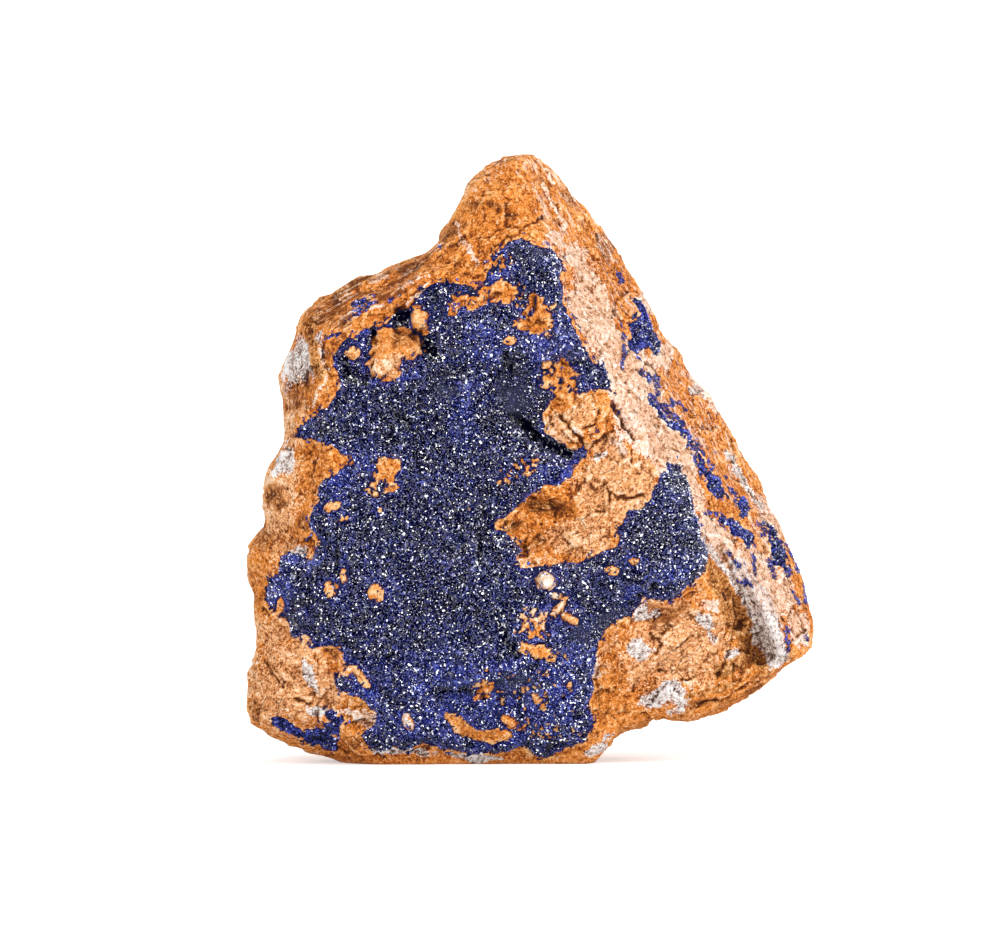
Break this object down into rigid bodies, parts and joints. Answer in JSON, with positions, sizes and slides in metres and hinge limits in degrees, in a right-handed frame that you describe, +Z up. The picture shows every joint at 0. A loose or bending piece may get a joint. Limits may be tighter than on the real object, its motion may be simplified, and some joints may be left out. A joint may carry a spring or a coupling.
{
  "type": "azurite mineral specimen",
  "caption": "Loose mineral specimen: dark blue azurite microcrystals over the front of a rusty orange limonite matrix with a cream band, standing on a flat foot.",
  "frame": {"origin": "on the floor, under the middle of the specimen's bounding box", "axes": "+Z up from the flat foot to the peak; the crystal face looks along -Y; +X towards the flank with the scattered crystal patches"},
  "size_m": [0.0852, 0.0496, 0.0912],
  "materials": {
    "limonite": "rough, earthy, rusty orange with cream and grey-white patches",
    "azurite": "glassy, sparkling dark blue crystals"
  },
  "bodies": {
    "root": {"limonite_matrix": "limonite", "azurite_main_crust": "azurite", "azurite_foot_patch": "azurite", "azurite_rim_patch": "azurite", "azurite_flank_1": "azurite", "azurite_flank_2": "azurite", "azurite_flank_3": "azurite", "azurite_flank_4": "azurite", "azurite_flank_5": "azurite", "azurite_flank_6": "azurite"}
  },
  "joints": []
}
